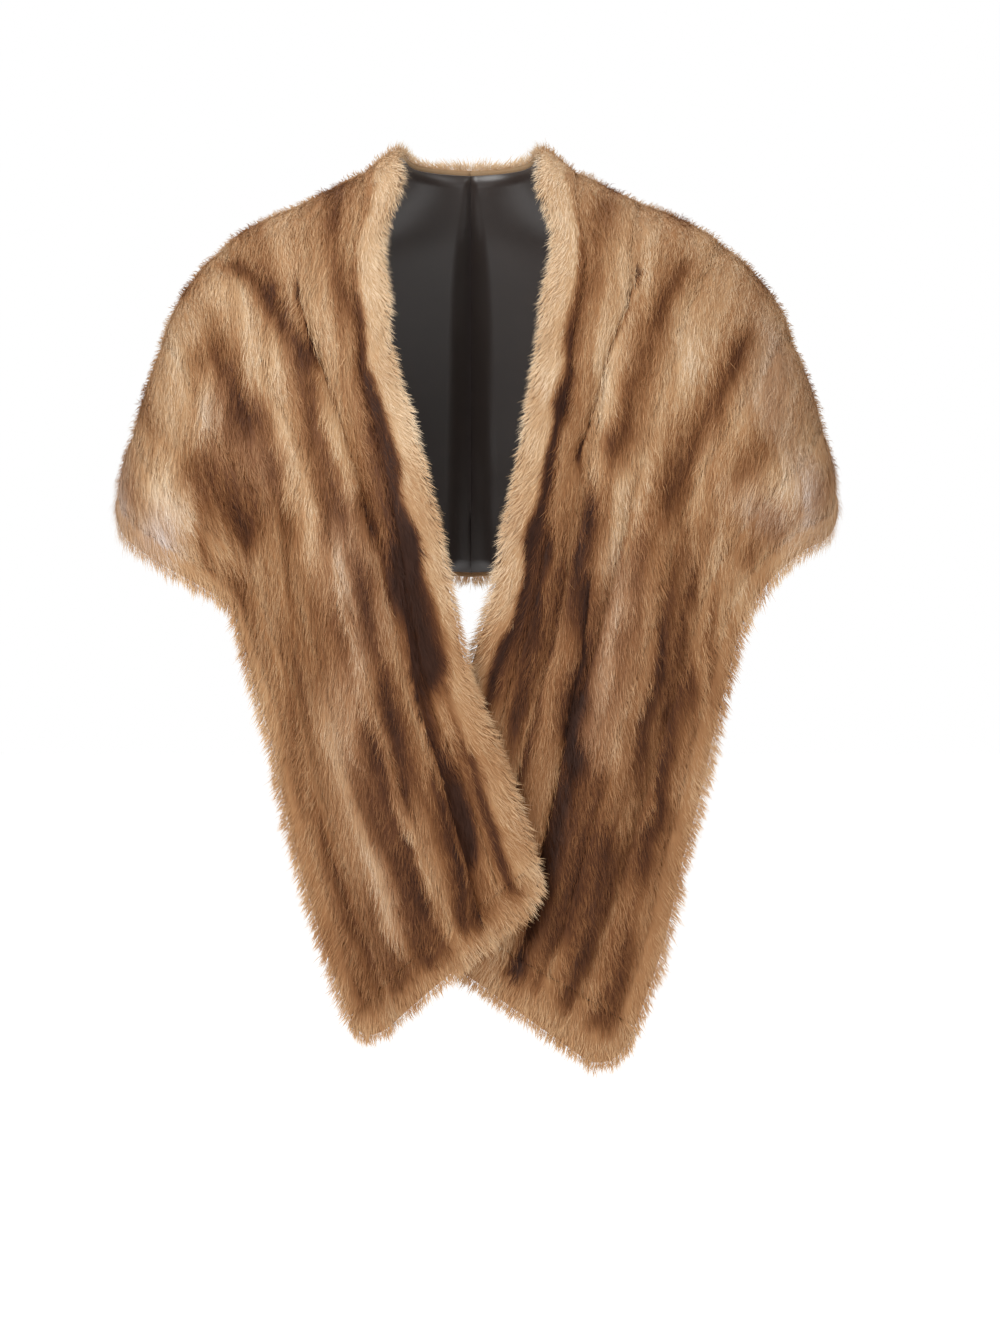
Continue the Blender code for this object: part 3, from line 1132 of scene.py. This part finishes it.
@dataclass
class Lining:
    """The satin lining of one half, inside the leather and short of its free edges."""

    half: Half
    inset: float = 0.004
    end_inset: float = 0.09
    gap: float = 0.0005
    thickness: float = 0.0012
    ripple: float = 0.0007
    rows: int = 120
    columns: int = 32

    def build(self, finish: bpy.types.Material) -> None:
        """Args:
            finish: the satin's material.
        """
        half = self.half
        noise = Noise(half.seed + 3)
        station = np.linspace(0.0, END - self.end_inset, self.rows)[:, None] + np.zeros((1, self.columns))
        width = np.interp(station, half.stations, half.widths)
        share = self.inset / width + (1 - 2 * self.inset / width) * np.linspace(0, 1, self.columns)[None, :]
        place = half.place(half.drawn_back(station, share), share)
        ripple = self.ripple * (1 + noise(share * width / 0.03, station * 0.8))
        outer = place.point - place.normal * self.gap
        inner = place.point - place.normal * (self.gap + self.thickness + ripple)[..., None]
        for sheet in (inner, outer):
            sheet[0, :, 0] = 0.0
        piece = wall(f"{half.name}_lining_satin", inner, outer, half.sign)
        piece.data.materials.append(finish)
        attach(piece, BODY)
        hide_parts(f"{half.name}_lining")


@dataclass
class Stole:
    """The whole stole."""

    coat: Coat = field(default_factory=Coat)

    def halves(self) -> tuple:
        """The two halves, the right front over the left.

        Returns:
            The right half and the left one.
        """
        right = Half(
            name="right", sign=-1, lift=0.0215, seed=5,
            front_stations=(
                (162, -0.062, 121, -0.309), (165, -0.125, 135, -0.340), (170, -0.190, 139, -0.375),
                (174, -0.262, 142, -0.415), (177, -0.335, 145, -0.460), (180, -0.405, 147, -0.515),
                (185, -0.470, 150, -0.575), (189, -0.528, 154, -0.640), (191, -0.562, 158, -0.692),
                (193, -0.586, 161, -0.718),
            ),
            folds=(
                Fold(4.0, 14.0, 3.0, 1.00, 1.00, 0.150, -0.040),
                Fold(5.0, 14.0, 1.2, 0.24, 0.30, 0.022, -0.0045),
                Fold(6.0, 14.0, 1.2, 0.50, 0.58, 0.040, 0.0070),
                Fold(7.5, 14.0, 1.2, 0.78, 0.82, 0.026, -0.0050),
                Fold(3.2, 6.5, 1.2, 0.56, 0.42, 0.040, -0.0050),
                Fold(3.0, 5.5, 1.2, 0.80, 0.70, 0.030, -0.0060),
                Fold(1.0, 3.0, 1.0, 0.55, 0.66, 0.060, 0.0050),
                Fold(0.3, 2.6, 1.0, 0.84, 0.80, 0.045, -0.0055),
            ),
            marks=(
                Mark(2.6, 4.2, 0.13, 0.17, 0.030, -0.74), Mark(4.2, 5.2, 0.16, 0.11, 0.026, -0.83),
                Mark(5.0, 8.4, 0.115, 0.145, 0.018, -0.99), Mark(3.0, 4.3, 0.42, 0.34, 0.018, -1.23),
                Mark(4.1, 5.2, 0.35, 0.28, 0.016, -0.99), Mark(4.8, 7.4, 0.31, 0.39, 0.022, -0.90),
                Mark(3.6, 5.3, 0.56, 0.5, 0.036, -1.07), Mark(5.2, 7.0, 0.52, 0.56, 0.020, -0.50),
                Mark(4.6, 6.3, 0.68, 0.71, 0.042, -1.07), Mark(5.2, 5.7, 0.78, 0.93, 0.020, -0.99),
                Mark(5.7, 6.8, 0.92, 0.87, 0.030, -0.61), Mark(7.2, 8.0, 0.26, 0.24, 0.014, -1.01),
                Mark(8.0, 9.9, 0.15, 0.145, 0.016, -1.12), Mark(8.1, 9.9, 0.2, 0.19, 0.014, -1.01),
                Mark(9.8, 12.0, 0.19, 0.24, 0.012, -1.23), Mark(11.0, 13.5, 0.235, 0.31, 0.013, -1.05),
                Mark(10.6, 13.2, 0.30, 0.37, 0.009, -0.80),
                Mark(7.8, 9.0, 0.34, 0.37, 0.014, -0.80), Mark(9.0, 11.0, 0.36, 0.42, 0.014, -0.95),
                Mark(9.6, 12.4, 0.48, 0.50, 0.008, -0.70),
                Mark(10.0, 13.5, 0.54, 0.55, 0.018, -0.78), Mark(10.4, 13.4, 0.13, 0.1, 0.020, -0.45),
                Mark(11.5, 13.5, 0.68, 0.73, 0.020, -0.34), Mark(8.5, 13.0, 0.75, 0.8, 0.022, -0.34),
                Mark(11.5, 13.2, 0.93, 0.9, 0.020, -0.45), Mark(4.1, 7.6, 0.28, 0.25, 0.004, -0.98),
                Mark(3.0, 5.2, 0.47, 0.44, 0.030, 0.34), Mark(5.2, 7.6, 0.44, 0.48, 0.014, 0.49),
                Mark(5.8, 7.2, 0.3, 0.33, 0.020, 0.49), Mark(3.0, 4.6, 0.62, 0.6, 0.030, 0.24),
                Mark(4.2, 5.4, 0.84, 0.86, 0.050, 0.44), Mark(5.5, 6.1, 0.84, 0.86, 0.026, 0.29),
                Mark(7.5, 8.2, 0.4, 0.44, 0.026, 0.45), Mark(8.8, 11.2, 0.46, 0.48, 0.026, 0.35),
                Mark(11.0, 13.0, 0.58, 0.62, 0.022, 0.35), Mark(9.0, 12.6, 0.65, 0.64, 0.020, 0.45),
                Mark(9.8, 10.6, 0.16, 0.17, 0.014, 0.50), Mark(11.0, 13.2, 0.42, 0.43, 0.018, 0.25),
                Mark(6.6, 9.2, 0.97, 0.97, 0.025, 0.30),
            ),
            # streaks of painted silvery sheen, on the arm edge and down the fronts
            sheen_greys=(
                Mark(3.0, 4.2, 0.90, 0.93, 0.034, 1.0), Mark(4.3, 5.2, 0.94, 0.90, 0.044, 1.0),
                Mark(8.8, 12.6, 0.50, 0.62, 0.050, 0.35),
                Mark(7.0, 9.0, 0.36, 0.40, 0.040, 0.5), Mark(4.2, 6.0, 0.60, 0.55, 0.030, 0.4),
            ),
            partings=(Parting(4.0, 7.8, 0.28, 0.25), Parting(8.2, 13.4, 0.19, 0.29)),
        )
        left = Half(
            name="left", sign=1, lift=0.0, seed=8,
            front_stations=(
                (163, -0.062, 119, -0.298), (167, -0.130, 128, -0.330), (170, -0.190, 133, -0.365),
                (173, -0.260, 135, -0.410), (176, -0.335, 137, -0.455), (180, -0.405, 139, -0.505),
                (183, -0.475, 142, -0.560), (187, -0.540, 145, -0.630), (189, -0.592, 150, -0.700),
                (191, -0.620, 154, -0.742),
            ),
            folds=(
                Fold(0.6, 6.2, 1.8, 0.68, 0.94, 0.300, 0.0150),
                Fold(4.5, 12.5, 1.2, 0.24, 0.28, 0.022, -0.0045),
                Fold(6.0, 14.0, 1.2, 0.46, 0.42, 0.026, -0.0055),
                Fold(6.5, 13.0, 1.2, 0.60, 0.62, 0.040, 0.0060),
                Fold(7.0, 14.0, 1.2, 0.82, 0.72, 0.026, -0.0045),
                Fold(3.4, 6.8, 1.2, 0.50, 0.60, 0.040, -0.0045),
                Fold(2.8, 5.0, 1.2, 0.84, 0.74, 0.032, -0.0060),
                Fold(1.2, 3.1, 1.0, 0.50, 0.62, 0.060, 0.0045),
                Fold(0.4, 2.4, 1.0, 0.80, 0.85, 0.045, -0.0050),
            ),
            marks=(
                Mark(3.2, 5.0, 0.16, 0.115, 0.024, -0.74), Mark(5.0, 8.2, 0.115, 0.115, 0.014, -0.99),
                Mark(8.0, 10.2, 0.1, 0.12, 0.018, -0.90), Mark(7.8, 10.6, 0.16, 0.21, 0.012, -0.85),
                Mark(8.2, 11.2, 0.24, 0.31, 0.009, -0.75),
                Mark(7.1, 8.2, 0.29, 0.31, 0.016, -1.01), Mark(8.1, 9.0, 0.34, 0.38, 0.022, -1.12),
                Mark(8.9, 10.2, 0.38, 0.41, 0.016, -1.12), Mark(9.4, 10.4, 0.44, 0.47, 0.022, -1.12),
                Mark(10.0, 13.4, 0.47, 0.49, 0.018, -1.23), Mark(3.4, 4.4, 0.38, 0.35, 0.018, -0.99),
                Mark(4.2, 6.6, 0.34, 0.34, 0.028, -0.83), Mark(3.5, 4.4, 0.56, 0.57, 0.016, -1.15),
                Mark(4.3, 6.6, 0.57, 0.56, 0.026, -0.99), Mark(6.4, 7.8, 0.56, 0.54, 0.022, -0.43),
                Mark(4.3, 5.3, 0.73, 0.72, 0.030, -0.66), Mark(4.9, 6.2, 0.85, 0.87, 0.034, -0.74),
                Mark(5.7, 6.4, 0.96, 0.97, 0.018, -0.73), Mark(6.4, 8.6, 0.64, 0.68, 0.014, -0.70),
                Mark(6.8, 9.4, 0.73, 0.75, 0.010, -0.60),
                Mark(8.4, 11.2, 0.68, 0.66, 0.012, -0.65), Mark(8.8, 11.6, 0.77, 0.76, 0.010, -0.55),
                Mark(8.2, 11.4, 0.83, 0.82, 0.010, -0.67),
                Mark(10.2, 12.6, 0.58, 0.58, 0.014, -0.67), Mark(11.0, 12.6, 0.68, 0.67, 0.022, -0.78),
                Mark(12.0, 13.4, 0.84, 0.9, 0.024, -0.56), Mark(12.3, 13.4, 0.72, 0.65, 0.018, -0.67),
                Mark(3.9, 7.0, 0.27, 0.2, 0.004, -0.85),
                Mark(4.0, 6.0, 0.21, 0.26, 0.024, 0.29), Mark(5.2, 7.0, 0.26, 0.29, 0.016, 0.39),
                Mark(4.2, 5.2, 0.46, 0.49, 0.022, 0.24), Mark(6.0, 8.0, 0.4, 0.38, 0.020, 0.55),
                Mark(5.0, 7.0, 0.62, 0.63, 0.012, 0.39), Mark(4.2, 7.0, 0.8, 0.94, 0.050, 0.34),
                Mark(8.0, 10.4, 0.47, 0.53, 0.018, 0.50), Mark(10.0, 11.2, 0.64, 0.66, 0.022, 0.35),
            ),
            # streaks of painted silvery sheen, on the arm edge and down the fronts
            sheen_greys=(
                Mark(3.8, 4.8, 0.86, 0.92, 0.040, 1.0), Mark(4.9, 5.6, 0.90, 0.80, 0.044, 0.9),
                Mark(3.0, 4.4, 0.60, 0.72, 0.060, 0.5),
                Mark(7.5, 10.4, 0.46, 0.52, 0.040, 0.5),
            ),
            partings=(Parting(3.8, 7.2, 0.27, 0.20), Parting(8.0, 13.2, 0.35, 0.49)),
        )
        return right, left

    def build(self) -> None:
        """Builds every strip and lining."""
        skins = FurFinish("fur_skins_finish", roughness=0.55, sheen=0.02).build()
        border = FurFinish("fur_border_finish", roughness=0.58, sheen=0.03).build()
        satin = SatinFinish().build()
        for half in self.halves():
            Strip(half, self.coat, "neck_border", 0, Slot.BORDER).build(border)
            for number in range(1, 6):
                Strip(half, self.coat, f"skin_{number}", number, Slot.SKINS).build(skins)
            Strip(half, self.coat, "hem_border", 6, Slot.BORDER).build(border)
            Strip(half, self.coat, "end_border", -1, Slot.BORDER).build(border)
            Lining(half).build(satin)


@dataclass
class Studio:
    """The camera, the pale floor and the soft light."""

    eye: tuple = (0.0264, -3.2, -0.397)
    half_height: float = 0.5865
    floor_up: float = -1.45
    floor_size: float = 40.0
    ambient: float = 0.62

    def build(self) -> None:
        """Places everything round the stole."""
        self.camera()
        self.floor()
        self.world()
        self.light("key", (-1.5, -2.4, 1.5), (62, 0, -32), 2.0, 104.0)
        self.light("fill", (2.2, -2.2, 0.4), (78, 0, 45), 2.2, 34.0)
        self.light("top", (0.0, 0.6, 2.2), (0, 0, 0), 2.4, 44.0)

    def camera(self) -> None:
        """Level with the middle of the stole and straight in front."""
        lens = bpy.data.cameras.new("camera")
        lens.sensor_fit = "VERTICAL"
        lens.angle = 2 * atan(self.half_height / abs(self.eye[1]))
        made = bpy.data.objects.new("camera", lens)
        made.location = self.eye
        made.rotation_euler = (radians(90), 0, 0)
        bpy.context.collection.objects.link(made)
        bpy.context.scene.camera = made

    def floor(self) -> None:
        """A plain pale floor, where the wearer would stand."""
        bm = bmesh.new()
        bmesh.ops.create_grid(bm, x_segments=1, y_segments=1, size=self.floor_size)
        bmesh.ops.translate(bm, verts=bm.verts[:], vec=(0, 0, self.floor_up))
        mesh = bpy.data.meshes.new("floor")
        bm.to_mesh(mesh)
        bm.free()
        made = bpy.data.objects.new("floor", mesh)
        bpy.context.collection.objects.link(made)
        pale = bpy.data.materials.new("floor_pale")
        pale.use_nodes = True
        shader = pale.node_tree.nodes["Principled BSDF"]
        shader.inputs["Base Color"].default_value = (0.93, 0.93, 0.93, 1)
        shader.inputs["Roughness"].default_value = 0.9
        shader.inputs["Emission Color"].default_value = (1, 1, 1, 1)
        shader.inputs["Emission Strength"].default_value = 0.46
        mesh.materials.append(pale)

    def world(self) -> None:
        """A white surround whose light is a little weaker than it looks."""
        world = bpy.data.worlds.new("world")
        world.use_nodes = True
        nodes, links = world.node_tree.nodes, world.node_tree.links
        background = nodes["Background"]
        background.inputs["Color"].default_value = (1, 1, 1, 1)
        seen = nodes.new("ShaderNodeLightPath")
        strength = nodes.new("ShaderNodeMapRange")
        strength.inputs["To Min"].default_value = self.ambient
        strength.inputs["To Max"].default_value = 1.0
        links.new(seen.outputs["Is Camera Ray"], strength.inputs["Value"])
        links.new(strength.outputs["Result"], background.inputs["Strength"])
        bpy.context.scene.world = world
        bpy.context.scene.view_settings.view_transform = "Standard"

    def light(self, name: str, place: tuple, turn: tuple, size: float, power: float) -> None:
        """A soft square light.

        Args:
            name: its name.
            place: where it hangs.
            turn: how it is turned, in degrees.
            size: its side.
            power: its watts.
        """
        lamp = bpy.data.lights.new(name, "AREA")
        lamp.size, lamp.energy = size, power
        made = bpy.data.objects.new(name, lamp)
        made.location = place
        made.rotation_euler = tuple(radians(angle) for angle in turn)
        bpy.context.collection.objects.link(made)


def main() -> None:
    """Builds the studio and the stole."""
    logging.basicConfig(level=logging.INFO, format="%(message)s")
    Studio().build()
    Stole().build()


if __name__ == "__main__":
    main()
